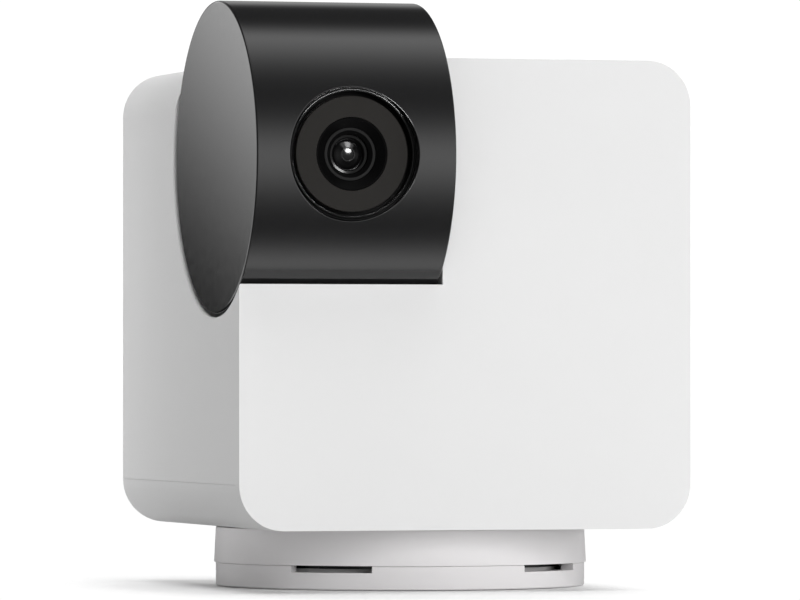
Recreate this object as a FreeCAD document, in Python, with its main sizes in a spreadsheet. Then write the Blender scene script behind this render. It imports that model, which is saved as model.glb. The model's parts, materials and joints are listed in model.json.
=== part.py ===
"""Pan and tilt indoor camera: a white cube that turns on a round base and carries a black lens drum.

Frame: millimetres, +Z up, -Y is the front, +X is to the right of someone who faces the front.
The origin is on the table, under the middle of the base, on the pan axis.
Every size comes from the spreadsheet "sizes"; the sub-parts are bound to its cells.
"""
import FreeCAD, Part
import math
import os
import re

import Sketcher

V = FreeCAD.Vector

# Driving dimensions, in mm (teeth are counts, angles are degrees).
SIZES = {
    # white body
    "body_side": 66.0,
    "body_corner": 6.4,
    "body_floor": 8.7,
    "wall": 2.0,
    "parting": 0.03,
    "rebate": 1.0,
    "rear_plate": 1.6,
    "rim_round": 0.15,
    "rear_round": 0.5,
    # lens drum and the pocket it turns in
    "tilt_back": -19.4,
    "tilt_up": 60.95,
    "drum_radius": 22.0,
    "drum_wall": 1.8,
    "drum_left": -32.75,
    "drum_right": -4.05,
    "side_cap": 1.45,
    "drum_gap": 0.5,
    "cradle_wall": 1.5,
    "axle_radius": 5.0,
    "axle_bore": 2.6,
    "gear_seat": 4.35,
    "axle_end": 7.2,
    "running_fit": 0.07,
    "tilt_gear_from": 3.3,
    "gear_width": 3.0,
    # lens stack, distances measured outwards from the tilt axis
    "lens_across": -18.7,
    "lens_hole": 9.25,
    "window_front": 20.4,
    "window_thick": 1.0,
    "window_outer": 8.05,
    "window_inner": 5.1,
    "barrel_tip": 3.7,
    "barrel_body": 5.65,
    "glass_radius": 2.7,
    "glass_seat": 18.0,
    "carrier_front": 16.0,
    "carrier_thick": 1.5,
    "carrier_side": 22.6,
    "post_across": 9.3,
    "post_up": 8.3,
    "sensor_board_from": 5.6,
    # round base
    "base_radius": 26.6,
    "base_flare": 26.85,
    "base_split": 3.5,
    "underside": 0.1,
    "base_top": 8.55,
    "base_roof": 7.0,
    "base_wall": 2.0,
    "slot_height": 1.0,
    "pad_thick": 1.0,
    "pad_outer": 23.5,
    "pad_inner": 7.5,
    "insert_radius": 4.2,
    "insert_mouth": 0.3,
    "thread_radius": 2.6,
    "thread_length": 5.0,
    "hub_bore": 8.2,
    "hub_radius": 10.9,
    "hub_seat": 10.0,
    "pan_gear_from": 14.6,
    "boss_circle": 19.0,
    # gears, motors and screws
    "gear_module": 0.5,
    "pan_gear_teeth": 60,
    "tilt_gear_teeth": 42,
    "pinion_teeth": 15,
    "flank_play": 0.05,
    "centre_play": 0.05,
    "motor_radius": 10.0,
    "motor_length": 13.0,
    "motor_offset": 6.0,
    "ear_reach": 14.0,
    "pan_motor_face": 20.0,
    "plate_from": 11.0,
    "plate_thick": 2.0,
    "screw_radius": 0.8,
    "screw_length": 4.5,
    "head_radius": 1.7,
    "head_height": 0.8,
    "pilot_radius": 0.85,
    # boards and leads
    "board_thick": 1.2,
    "main_board_from": 24.4,
    "lead_radius": 0.6,
    "speaker_across": -10.0,
    "speaker_up": 43.0,
    "reset_across": 16.0,
    "reset_up": 26.0,
}

doc = FreeCAD.newDocument("pan_tilt_camera")
sheet = doc.addObject("Spreadsheet::Sheet", "sizes")
for row, (alias, size) in enumerate(SIZES.items(), start=1):
    sheet.set(f"A{row}", alias.replace("_", " "))
    sheet.set(f"B{row}", str(size))
    sheet.setAlias(f"B{row}", alias)
spare = doc.addObject("Spreadsheet::Sheet", "spare")
doc.recompute()

SUB_PARTS = []


def on_sheet(text):
    """Put the sheet's name before each alias in an expression."""
    return re.sub(r"[a-z][a-z_]*", lambda word: "sizes." + word.group(), str(text))


def number(text):
    """The present value of an expression, worked out in the spare sheet's one cell."""
    spare.set("A1", "=" + on_sheet(text))
    spare.recompute()
    return float(spare.get("A1"))


def bind(thing, **expressions):
    for name, text in expressions.items():
        thing.setExpression(name, on_sheet(text))


def place(thing, at, facing=None):
    """Put a thing at three expressions, with its local +Z turned to face a way."""
    if facing:
        axis, angle = facing
        thing.Placement = FreeCAD.Placement(V(), FreeCAD.Rotation(axis, angle))
    for letter, text in zip("xyz", at):
        thing.setExpression(f"Placement.Base.{letter}", on_sheet(text))
    return thing


def sub_part(thing, label):
    """Keep a thing as one of the object's pieces under the name of its file."""
    thing.Label = label
    SUB_PARTS.append(thing)
    return thing


# The ways a round piece can face: the axis and angle that turn its local +Z there.
UP = (V(0, 0, 1), 0)
DOWN = (V(1, 0, 0), 180)
RIGHT = (V(0, 1, 0), 90)
LEFT = (V(0, 1, 0), -90)
FRONT = (V(1, 0, 0), 90)
REAR = (V(1, 0, 0), -90)
ON_TILT_AXIS = ("0", "tilt_back", "tilt_up")
ON_LENS_AXIS = ("lens_across", "tilt_back", "tilt_up")


# --- builders ---
def cylinder(radius, length, at=("0", "0", "0"), facing=UP):
    thing = doc.addObject("Part::Cylinder", "cylinder")
    bind(thing, Radius=radius, Height=length)
    return place(thing, at, facing)


def box(low, high):
    """A block between two corners given as expressions."""
    thing = doc.addObject("Part::Box", "block")
    spans = [f"({b}) - ({a})" for a, b in zip(low, high)]
    bind(thing, Length=spans[0], Width=spans[1], Height=spans[2])
    return place(thing, low)


def cut(base, *tools):
    for tool in tools:
        result = doc.addObject("Part::Cut", "cut")
        result.Base = base
        result.Tool = tool
        base = result
    return base


def fuse(*things):
    result = doc.addObject("Part::MultiFuse", "fusion")
    result.Shapes = list(things)
    return result


def common(first, second):
    result = doc.addObject("Part::Common", "common")
    result.Base = first
    result.Tool = second
    return result


def new_sketch(body, role, offset="0"):
    sketch = body.newObject("Sketcher::SketchObject", "outline")
    plane = [item for item in body.Origin.OriginFeatures if item.Role == role][0]
    sketch.AttachmentSupport = (plane, "")
    sketch.MapMode = "FlatFace"
    sketch.setExpression("AttachmentOffset.Base.z", on_sheet(offset))
    return sketch


def draw_outline(sketch, corners):
    """A closed run of lines whose corners are held by expressions."""
    spots = [V(number(a), number(b), 0) for a, b in corners]
    count = len(spots)
    first = sketch.GeometryCount
    for index in range(count):
        sketch.addGeometry(Part.LineSegment(spots[index], spots[(index + 1) % count]), False)
    for index, (across, along) in enumerate(corners):
        line = first + index
        following = first + (index + 1) % count
        sketch.addConstraint(Sketcher.Constraint("Coincident", line, 2, following, 1))
        hold_point(sketch, line, 1, across, along)


def hold_point(sketch, shape, point, across, along):
    """Tie one point of a sketch to two expressions."""
    for kind, text in (("DistanceX", across), ("DistanceY", along)):
        held = sketch.addConstraint(Sketcher.Constraint(kind, -1, 1, shape, point, number(text)))
        sketch.setExpression(f"Constraints[{held}]", on_sheet(text))


def draw_circle(sketch, radius, across="0", along="0"):
    """A circle held by its centre and radius."""
    middle = V(number(across), number(along), 0)
    circle = sketch.addGeometry(Part.Circle(middle, V(0, 0, 1), number(radius)), False)
    held = sketch.addConstraint(Sketcher.Constraint("Radius", circle, number(radius)))
    sketch.setExpression(f"Constraints[{held}]", on_sheet(radius))
    hold_point(sketch, circle, 3, across, along)


def turned(corners, at=("0", "0", "0"), facing=UP):
    """A piece turned about its own Z axis from (radius, height) corners."""
    body = doc.addObject("PartDesign::Body", "turned")
    sketch = new_sketch(body, "XZ_Plane")
    draw_outline(sketch, corners)
    revolution = body.newObject("PartDesign::Revolution", "revolution")
    revolution.Profile = sketch
    revolution.ReferenceAxis = (sketch, ["V_Axis"])
    revolution.Angle = 360
    place(body, at, facing)
    return body


def ring(outer, inner, low, high, at=("0", "0", "0"), facing=UP):
    return turned([(inner, low), (outer, low), (outer, high), (inner, high)], at, facing)


def plate(role, corners, holes, low, thick):
    """A flat piece padded from an outline with round holes, starting at a height on its plane."""
    body = doc.addObject("PartDesign::Body", "plate")
    sketch = new_sketch(body, role, low)
    draw_outline(sketch, corners)
    for radius, across, along in holes:
        draw_circle(sketch, radius, across, along)
    pad = body.newObject("PartDesign::Pad", "pad")
    pad.Profile = sketch
    bind(pad, Length=thick)
    return body


def rounded_block(low, high, corner):
    """A block along Y whose four long edges are rounded."""
    body = doc.addObject("PartDesign::Body", "rounded_block")
    sketch = new_sketch(body, "XZ_Plane", f"-({low[1]})")
    draw_outline(sketch, [(low[0], low[2]), (high[0], low[2]), (high[0], high[2]), (low[0], high[2])])
    pad = body.newObject("PartDesign::Pad", "pad")
    pad.Profile = sketch
    pad.Reversed = True
    bind(pad, Length=f"({high[1]}) - ({low[1]})")
    doc.recompute()
    long_edges = [
        f"Edge{index}"
        for index, edge in enumerate(pad.Shape.Edges, start=1)
        if abs(abs(edge.tangentAt(edge.FirstParameter).y) - 1) < 1e-6
    ]
    fillet = body.newObject("PartDesign::Fillet", "corners")
    fillet.Base = (pad, long_edges)
    bind(fillet, Radius=corner)
    return body


def round_rear(body):
    """Ease the edge all round the rear face of a rounded block."""
    doc.recompute()
    tip = body.Tip
    rear = tip.Shape.BoundBox.YMax
    edges = [
        f"Edge{index}"
        for index, edge in enumerate(tip.Shape.Edges, start=1)
        if edge.BoundBox.YMin > rear - 1e-4
    ]
    fillet = body.newObject("PartDesign::Fillet", "rear_edge")
    fillet.Base = (tip, edges)
    bind(fillet, Radius="rear_round")


def gear(teeth, from_height, width, bore, start, at=("0", "0", "0"), facing=UP):
    """A spur gear with one arc for each involute flank, tooth 0 pointing at the start angle."""
    body = doc.addObject("PartDesign::Body", "gear")
    sketch = new_sketch(body, "XY_Plane", from_height)
    sketch.addGeometry(gear_outline(int(number(teeth)), start), False)
    draw_circle(sketch, bore)
    pad = body.newObject("PartDesign::Pad", "pad")
    pad.Profile = sketch
    bind(pad, Length=width)
    place(body, at, facing)
    return body


def gear_outline(teeth, start):
    """Arcs of a whole involute outline: root, flank, tip, flank for each tooth."""
    module = number("gear_module")
    pitch = module * teeth / 2
    base = pitch * math.cos(math.radians(20))
    tip = pitch + 0.95 * module
    root = pitch - 1.25 * module
    foot = max(base, root + 0.1 * module)

    def roll(radius):
        return math.sqrt(max((radius / base) ** 2 - 1, 0))

    def half_angle(radius):
        """Half of the tooth's angle at a radius, by the involute function."""
        at_pitch = math.pi / (2 * teeth) - number("flank_play") / pitch
        involute = roll(pitch) - math.atan(roll(pitch))
        return at_pitch + involute - (roll(radius) - math.atan(roll(radius)))

    def spot(radius, angle):
        return V(radius * math.cos(angle), radius * math.sin(angle), 0)

    def arc(first, middle, last):
        return Part.Arc(first, middle, last)

    outline = []
    step = 2 * math.pi / teeth
    between = (foot + tip) / 2
    for index in range(teeth):
        middle = math.radians(start) + index * step
        gap = middle + step / 2
        valley = spot(root, gap)
        outline.append(arc(spot(tip, middle - half_angle(tip)), spot(tip, middle),
                           spot(tip, middle + half_angle(tip))))
        outline.append(arc(spot(tip, middle + half_angle(tip)), spot(between, middle + half_angle(between)),
                           spot(foot, middle + half_angle(foot))))
        outline.append(arc(spot(foot, middle + half_angle(foot)), valley,
                           spot(foot, gap + step / 2 - half_angle(foot))))
        outline.append(arc(spot(foot, gap + step / 2 - half_angle(foot)),
                           spot(between, gap + step / 2 - half_angle(between)),
                           spot(tip, gap + step / 2 - half_angle(tip))))
    return outline


def screw(at, facing, length="screw_length", head="head_radius"):
    """A cross-head screw: the head stands on a point and faces a way, the shank runs back from it."""
    shank = cylinder("screw_radius", length, ("0", "0", f"-({length})"))
    slots = [box((f"-{a}", f"-{b}", "head_height - 0.45"), (a, b, "head_height + 1"))
             for a, b in (("0.2", "0.8"), ("0.8", "0.2"))]
    return place(cut(fuse(cylinder(head, "head_height"), shank), *slots), at, facing)


def lead(label, route):
    """A round lead along straight runs joined by the largest tangent arcs the runs allow."""
    spots = [V(*[number(text) for text in spot]) for spot in route]
    runs = [(b - a).Length for a, b in zip(spots, spots[1:])]
    edges = []
    start = spots[0]
    for index in range(1, len(spots) - 1):
        before = (spots[index - 1] - spots[index]).normalize()
        after = (spots[index + 1] - spots[index]).normalize()
        reach = 0.45 * min(runs[index - 1], runs[index])
        first = spots[index] + before * reach
        last = spots[index] + after * reach
        half_turn = (math.pi - before.getAngle(after)) / 2
        radius = reach / math.tan(half_turn)
        print(f"{label}: bend {index} radius {radius:.2f} mm")
        bisector = (before + after).normalize()
        middle = spots[index] + bisector * (radius / math.cos(half_turn) - radius)
        edges.append(Part.LineSegment(start, first).toShape())
        edges.append(Part.Arc(first, middle, last).toShape())
        start = last
    edges.append(Part.LineSegment(start, spots[-1]).toShape())
    path = Part.Wire(edges)
    radius = number("lead_radius")
    section = Part.Wire(Part.Circle(spots[0], spots[1] - spots[0], radius).toShape())
    thing = doc.addObject("Part::Feature", "lead")
    thing.Shape = path.makePipeShell([section], True, False)
    whole = math.pi * radius ** 2 * path.Length
    print(f"{label}: volume {thing.Shape.Volume:.2f} of {whole:.2f} mm3")
    return sub_part(thing, label)


def at_angle(radius, degrees):
    """Expressions of a point on a circle about the Z axis."""
    return (f"({radius}) * {math.cos(math.radians(degrees)):.9f}",
            f"({radius}) * {math.sin(math.radians(degrees)):.9f}")


# --- round base ---
BOSS_ANGLES = (45, 135, 225, 315)
HUB_SCREW_ANGLES = (30, 150, 270)
SLOT_ANGLES = (38.5, 141.5, 218.5, 321.5)


def make_foot_pad():
    return sub_part(ring("pad_outer", "pad_inner", "0", "pad_thick"), "foot_pad")


def make_slot(angle):
    """A block that cuts a thin slot through the ring, turned about the Z axis."""
    slot = box(("-6.2", "22", "base_split - slot_height"), ("6.2", "29", "base_split + 1"))
    slot.Placement = FreeCAD.Placement(V(), FreeCAD.Rotation(V(0, 0, 1), angle))
    corner = math.hypot(6.2, 22)
    bearing = angle + math.degrees(math.atan2(22, -6.2))
    across, along = at_angle(f"{corner:.9f}", bearing)
    bind(slot, **{"Placement.Base.x": across, "Placement.Base.y": along})
    return slot


def make_base_plate():
    """Lower ring with its floor, the slots under the seam and the boss of the tripod thread."""
    outline = [
        ("insert_radius + 0.05", "underside"), ("pad_inner - 0.2", "underside"),
        ("pad_inner - 0.2", "pad_thick"),
        ("pad_outer + 0.2", "pad_thick"), ("pad_outer + 0.2", "underside"),
        ("base_radius - 0.15", "underside"), ("base_radius", "underside + 0.15"),
        ("base_radius", "base_split - 0.15"),
        ("base_radius - 0.15", "base_split"), ("base_radius - base_wall", "base_split"),
        ("base_radius - base_wall", "2.4"), ("22.6", "2.4"), ("22.6", "2.95"), ("21.6", "2.95"),
        ("21.6", "2.4"), ("insert_radius + 1.2", "2.4"), ("insert_radius + 1.2", "6.5"),
        ("0", "6.5"), ("0", "5.6"), ("insert_radius + 0.05", "5.6"),
    ]
    plain = turned(outline)
    tools = [make_slot(angle) for angle in SLOT_ANGLES]
    for angle in BOSS_ANGLES:
        across, along = at_angle("boss_circle", angle)
        tools.append(cylinder("head_radius + 0.3", "0.9", (across, along, "pad_thick")))
        tools.append(cylinder("screw_radius + 0.25", "3", (across, along, "pad_thick")))
    return sub_part(cut(plain, fuse(*tools)), "base_plate")


def make_base_housing():
    """Upper ring with its roof, the screw bosses and the opening of the power socket."""
    outline = [
        ("hub_radius + 0.1", "base_roof"), ("base_flare - base_wall", "base_roof"),
        ("base_flare - base_wall", "base_split"), ("base_flare", "base_split"),
        ("base_radius", "base_top - 0.1"), ("base_radius - 0.1", "base_top"),
        ("hub_radius + 0.1", "base_top"),
    ]
    pieces = [turned(outline)]
    tools = []
    for angle in BOSS_ANGLES:
        across, along = at_angle("boss_circle", angle)
        pieces.append(cylinder("2.2", "base_roof - 2.4 + 0.2", (across, along, "2.4")))
        tools.append(cylinder("pilot_radius", "4.3", (across, along, "2.4 - 0.01")))
    for angle in HUB_SCREW_ANGLES:
        across, along = at_angle("12.7", angle)
        tools.append(cylinder("pilot_radius", "1.1", (across, along, "base_roof - 0.01")))
    tools.append(rounded_block(("-4.62", "22", "base_split - 1"), ("4.62", "28", "base_roof - 0.02"), "0.6"))
    return sub_part(cut(fuse(*pieces), fuse(*tools)), "base_housing")


def make_tripod_insert():
    insert = ring("insert_radius", "thread_radius", "insert_mouth", "insert_mouth + thread_length")
    return sub_part(insert, "tripod_insert")


def make_pan_hub():
    """Hollow hub that the white body turns on, flanged under the roof and grooved for its clip."""
    outline = [
        ("hub_bore", "5.4"), ("14.5", "5.4"), ("14.5", "base_roof - 0.05"),
        ("hub_radius", "base_roof - 0.05"), ("hub_radius", "pan_gear_from"),
        ("hub_seat", "pan_gear_from"), ("hub_seat", "pan_gear_from + gear_width + 0.05"),
        ("hub_seat - 0.5", "pan_gear_from + gear_width + 0.05"),
        ("hub_seat - 0.5", "pan_gear_from + gear_width + 0.65"),
        ("hub_seat", "pan_gear_from + gear_width + 0.65"),
        ("hub_seat", "pan_gear_from + gear_width + 1.05"), ("hub_bore", "pan_gear_from + gear_width + 1.05"),
    ]
    tools = []
    for angle in HUB_SCREW_ANGLES:
        across, along = at_angle("12.7", angle)
        tools.append(cylinder("screw_radius + 0.2", "3", (across, along, "5")))
    key = box(("hub_seat - 0.3", "-0.75", "pan_gear_from"),
              ("hub_seat + 0.7", "0.75", "pan_gear_from + gear_width"))
    return sub_part(fuse(cut(turned(outline), *tools), key), "pan_hub")


def make_pan_gear():
    plain = gear("pan_gear_teeth", "pan_gear_from", "gear_width", "hub_seat + 0.04", 0)
    keyway = box(("hub_seat - 1", "-0.8", "pan_gear_from - 1"),
                 ("hub_seat + 0.8", "0.8", "pan_gear_from + gear_width + 1"))
    return sub_part(cut(plain, keyway), "pan_gear")


def make_pan_gear_clip():
    low = "pan_gear_from + gear_width + 0.07"
    whole = ring("hub_seat + 1.5", "hub_seat - 0.45", low, f"{low} + 0.55")
    gap = box(("-1.5", "hub_seat - 3", low), ("1.5", "hub_seat + 4", f"{low} + 1"))
    return sub_part(cut(whole, gap), "pan_gear_clip")


def make_pan_washer():
    return sub_part(ring("15.5", "hub_radius + 0.3", "base_top", "base_top + 0.4"), "pan_washer")


def make_base_screws():
    spots = [at_angle("boss_circle", angle) + ("pad_thick + 0.9",) for angle in BOSS_ANGLES]
    return sub_part(fuse(*[screw(at, DOWN) for at in spots]), "base_screws")


def make_hub_screws():
    """Short screws that hold the hub's flange against the roof."""
    spots = [at_angle("12.7", angle) + ("5.4",) for angle in HUB_SCREW_ANGLES]
    return sub_part(fuse(*[screw(at, DOWN, "2.6", "1.5") for at in spots]), "hub_screws")


def make_base_board():
    """Round board in the base, cut for the screw bosses."""
    plain = ring("22.8", "insert_radius + 1.5", "2.95", "3.75")
    tools = [cylinder("2.5", "3", at_angle("boss_circle", angle) + ("2",)) for angle in BOSS_ANGLES]
    return sub_part(cut(plain, *tools), "base_board")


def make_base_connector():
    return sub_part(box(("-2.5", "5.9", "3.75"), ("2.5", "9.9", "5.35")), "base_connector")


def make_usb_c_shell():
    """Steel shell of the power socket, closed at its back."""
    outside = rounded_block(("-4.47", "19.3", "3.77"), ("4.47", "26.45", "6.93"), "1.5")
    inside = rounded_block(("-4.17", "19.8", "4.07"), ("4.17", "27", "6.63"), "1.2")
    return sub_part(cut(outside, inside), "usb_c_shell")


def make_usb_c_tongue():
    return sub_part(box(("-3.35", "19.8", "5.0"), ("3.35", "25.7", "5.7")), "usb_c_tongue")


def make_base_lead():
    route = [("0", "6.8", "5.35"), ("0", "6.8", "9"), ("0", "0", "12.4"), ("0", "0", "16")]
    return lead("base_lead", route)


# --- white body ---
HALF = "body_side / 2"
BODY_TOP = "body_floor + body_side"
PARTING_HEIGHT = "body_floor + body_corner"
COVER_BOSSES = [("-27.8", "69.5"), ("27.8", "69.5"), ("-27.8", "13.9"), ("27.8", "13.9")]
FLOOR_BOSSES = [("-24", "-26"), ("24", "-26"), ("-24", "17"), ("24", "17")]
CRADLE_POSTS = [("-28.15", "45.6"), ("-14.6", "42.9"), ("-4.7", "69.3")]
PAN_CENTRE = "gear_module * (pan_gear_teeth + pinion_teeth) / 2 + centre_play"
TILT_CENTRE = "gear_module * (tilt_gear_teeth + pinion_teeth) / 2 + centre_play"
FEET = [("16", "-24"), ("16", "20.4")]


def make_blank():
    """Hollow rounded cube, closed in front, open behind, with the step that takes the rear cover."""
    outside = rounded_block((f"-{HALF}", f"-{HALF}", "body_floor"), (HALF, HALF, BODY_TOP), "body_corner")
    round_rear(outside)
    cavity = rounded_block(
        (f"-{HALF} + wall", f"-{HALF} + wall", "body_floor + wall"),
        (f"{HALF} - wall", f"{HALF} + 5", f"{BODY_TOP} - wall"), "body_corner - wall")
    step = rounded_block(
        (f"-{HALF} + rebate", f"{HALF} - rear_plate", "body_floor + rebate"),
        (f"{HALF} - rebate", f"{HALF} + 5", f"{BODY_TOP} - rebate"), "body_corner - rebate")
    return cut(outside, cavity, step)


def make_main_shell(blank):
    """Front, top and sides of the cube, with the round pocket of the drum and its eased rim."""
    lower = box(("-40", f"-{HALF} + wall", "0"), ("40", "40", PARTING_HEIGHT))
    pocket = cylinder("drum_radius + drum_gap", "40 + drum_right + drum_gap",
                      ("-40", "tilt_back", "tilt_up"), RIGHT)
    rim = turned([
        ("0", f"-{HALF} - 1"), ("drum_radius + drum_gap + rim_round + 1", f"-{HALF} - 1"),
        ("drum_radius + drum_gap", f"-{HALF} + rim_round"), ("0", f"-{HALF} + rim_round"),
    ], ON_TILT_AXIS, RIGHT)
    core = cut(blank, lower, pocket, rim)
    bosses = []
    pilots = []
    for across, up in COVER_BOSSES[:2]:
        bosses.append(cylinder("3", "11.4", (across, "20", up), REAR))
        pilots.append(cylinder("pilot_radius", "6", (across, f"{HALF} - rear_plate - 5.9", up), REAR))
    for across, along in FLOOR_BOSSES:
        bosses.append(cylinder("2.6", "11.9", (across, along, PARTING_HEIGHT)))
        reach = f"{across} * ({HALF} - wall / 2) / 24"
        edges = (across, reach) if float(across) > 0 else (reach, across)
        bosses.append(box((edges[0], f"{along} - 0.8", PARTING_HEIGHT),
                          (edges[1], f"{along} + 0.8", f"{PARTING_HEIGHT} + 11.9")))
        pilots.append(cylinder("pilot_radius", "6", (across, along, f"{PARTING_HEIGHT} - 0.1")))
    inside = common(fuse(*bosses), make_inner_room())
    return sub_part(cut(fuse(core, inside), fuse(*pilots)), "main_shell")


def make_inner_room():
    """The cube's outside less a skin, which trims the bosses where they meet the walls."""
    return rounded_block(
        (f"-{HALF} + 0.6", f"-{HALF} + 0.6", "body_floor + 0.6"),
        (f"{HALF} - 0.6", f"{HALF} - rear_plate", f"{BODY_TOP} - 0.6"), "body_corner - 0.6")


def make_bottom_cover(blank):
    """Tray under the cube: bearing for the hub, posts for the pan motor and pillars for the frame."""
    lower = box(("-40", f"-{HALF} + wall + parting", "0"), ("40", "40", f"{PARTING_HEIGHT} - parting"))
    pieces = [common(blank, lower)]
    tools = []
    pieces.append(cylinder("13.2", "pan_gear_from - 0.1 - body_floor", ("0", "0", "body_floor")))
    post = f"{PAN_CENTRE} - motor_offset"
    for along in ("-ear_reach", "ear_reach"):
        pieces.append(cylinder("2.4", "pan_motor_face - 10", (post, along, "10")))
        tools.append(cylinder("pilot_radius", "6", (post, along, "pan_motor_face - 5.9")))
    for across, along in FEET:
        pieces.append(cylinder("2.4", "4.2", (across, along, "10")))
        tools.append(cylinder("pilot_radius", "3.8", (across, along, "10.6")))
    for across, along in FLOOR_BOSSES:
        pieces.append(common(cylinder("2.6", "5", (across, along, "10")), make_inner_room()))
        tools.append(cylinder("screw_radius + 0.25", "10", (across, along, "8")))
        tools.append(cylinder("head_radius + 0.3", "4.5", (across, along, "8")))
    for across, up in COVER_BOSSES[2:]:
        pieces.append(common(cylinder("3", "11.4", (across, "20", up), REAR), make_inner_room()))
        tools.append(cylinder("pilot_radius", "6", (across, f"{HALF} - rear_plate - 5.9", up), REAR))
    tools.append(cylinder("hub_radius + running_fit", "20", ("0", "0", "5")))
    tools.append(cylinder("16", "0.3", ("0", "0", "body_floor")))
    return sub_part(cut(fuse(*pieces), *tools), "bottom_cover")


def grille_holes():
    """Rings of round holes in front of the speaker."""
    holes = [("0", "0")]
    for ring_number in (1, 2, 3):
        for index in range(6 * ring_number):
            angle = math.radians(60 / ring_number * index)
            reach = 2.5 * ring_number
            holes.append((f"{reach * math.cos(angle):.6f}", f"{reach * math.sin(angle):.6f}"))
    return holes


def make_rear_cover():
    """Flat rear cover with the speaker grille, board posts, speaker ring and button hole."""
    inset = "(rebate + parting)"
    panel = rounded_block(
        (f"-{HALF} + {inset}", f"{HALF} - rear_plate", f"body_floor + {inset}"),
        (f"{HALF} - {inset}", HALF, f"{BODY_TOP} - {inset}"), f"body_corner - {inset}")
    back_of_board = "main_board_from + board_thick"
    pieces = [panel]
    tools = []
    for across, up in BOARD_POSTS:
        height = f"{HALF} - rear_plate - ({back_of_board}) + 0.1"
        pieces.append(cylinder("2.2", height, (across, back_of_board, up), REAR))
        tools.append(cylinder("pilot_radius", "5", (across, f"{back_of_board} - 0.1", up), REAR))
    at_speaker = ("speaker_across", f"{HALF} - rear_plate - 3.9", "speaker_up")
    pieces.append(ring("11.4", "10.2", "0", "4", at_speaker, REAR))
    for across, up in grille_holes():
        spot = (f"speaker_across + {across}", "28", f"speaker_up + {up}")
        tools.append(cylinder("0.7", "6", spot, REAR))
    for across, up in COVER_BOSSES:
        tools.append(cylinder("screw_radius + 0.25", "6", (across, "30", up), REAR))
        tools.append(cylinder("head_radius + 0.3", "3", (across, f"{HALF} - 0.9", up), REAR))
    tools.append(cylinder("2.1", "6", ("reset_across", "30", "reset_up"), REAR))
    tools.append(cylinder("0.6", "6", ("reset_across", "30", "56"), REAR))
    return sub_part(cut(fuse(*pieces), fuse(*tools)), "rear_cover")


def make_drum_cradle():
    """Liner of the pocket with the drum's bearing and the posts that hold it to the frame."""
    inner = "drum_radius + drum_gap"
    wall_from = "drum_right + drum_gap"
    wall_to = f"{wall_from} + cradle_wall"
    boss_end = "tilt_gear_from - 0.1"
    bore = "axle_radius + running_fit"
    liner = turned([
        (bore, wall_from), (inner, wall_from), (inner, f"-{HALF} + wall + 0.05"),
        (f"{inner} + cradle_wall", f"-{HALF} + wall + 0.05"), (f"{inner} + cradle_wall", wall_to),
        ("7.5", wall_to), ("7.5", boss_end), (bore, boss_end),
    ], ON_TILT_AXIS, RIGHT)
    room = rounded_block(
        (f"-{HALF} + wall + 0.05", f"-{HALF} + wall + 0.05", "25"),
        ("20", "12", f"{BODY_TOP} - wall - 0.05"), "body_corner - wall")
    posts = [cylinder("2.2", f"plate_from - ({wall_to}) + 0.2", (f"{wall_to} - 0.2", along, up), RIGHT)
             for along, up in CRADLE_POSTS]
    pilots = [cylinder("pilot_radius", "6", ("plate_from - 5.9", along, up), RIGHT)
              for along, up in CRADLE_POSTS]
    return sub_part(cut(fuse(common(liner, room), *posts), *pilots), "drum_cradle")


def make_frame():
    """Upright plate that carries the tilt motor and the cradle, on two legs with feet."""
    outline = [
        ("-30.5", "38"), ("-28", "38"), ("-28", "14.2"), ("-20.2", "14.2"), ("-20.2", "38"),
        ("18.4", "38"), ("18.4", "14.2"), ("22.2", "14.2"), ("22.2", "66"), ("18", "71.8"), ("-30.5", "71.8"),
    ]
    pinion_along = f"tilt_back + {TILT_CENTRE}"
    holes = [("4.5", pinion_along, "tilt_up"), ("2.2", "tilt_back", "tilt_up")]
    for side in ("-ear_reach", "ear_reach"):
        holes.append(("pilot_radius", f"{pinion_along} + ({side})", "tilt_up - motor_offset"))
    for along, up in CRADLE_POSTS:
        holes.append(("screw_radius + 0.2", along, up))
    upright = plate("YZ_Plane", outline, holes, "plate_from", "plate_thick")
    feet = [box(("plate_from", low, "14.2"), ("19", high, "15.7"))
            for low, high in (("-28", "-20.2"), ("18.4", "22.2"))]
    holes = [cylinder("screw_radius + 0.2", "4", (across, along, "13")) for across, along in FEET]
    return sub_part(cut(fuse(upright, *feet), *holes), "frame_plate")


def make_motor(label, at, facing):
    """Geared stepper: shaft axis on local Z, mounting face at zero, can offset to local -X."""
    can = cylinder("motor_radius", "motor_length", ("-motor_offset", "0", "-motor_length"))
    boss = cylinder("3.6", "1.1")
    ears = box(("-motor_offset - 3.5", "-ear_reach - 3", "-0.8"),
               ("-motor_offset + 3.5", "ear_reach + 3", "0"))
    terminals = box(("-motor_offset - 11.5", "-5", "-10"), ("-motor_offset - 8", "5", "-3"))
    tools = [cylinder("1.56", "8", ("0", "0", "-6"))]
    for side in ("-ear_reach", "ear_reach"):
        tools.append(cylinder("screw_radius + 0.2", "3", ("-motor_offset", side, "-2")))
    motor = cut(fuse(can, boss, ears, terminals), *tools)
    place(motor, at, facing)
    return sub_part(motor, label)


def make_pinion(label, low, high, shaft_end, start, at, facing):
    """Pinion and output shaft in one, teeth between two heights on local Z."""
    teeth = gear("pinion_teeth", low, f"({high}) - ({low})", "0.6", start)
    shaft = cylinder("1.5", f"({high}) - ({shaft_end}) - 0.2", ("0", "0", shaft_end))
    pinion = fuse(teeth, shaft)
    place(pinion, at, facing)
    return sub_part(pinion, label)


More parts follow.
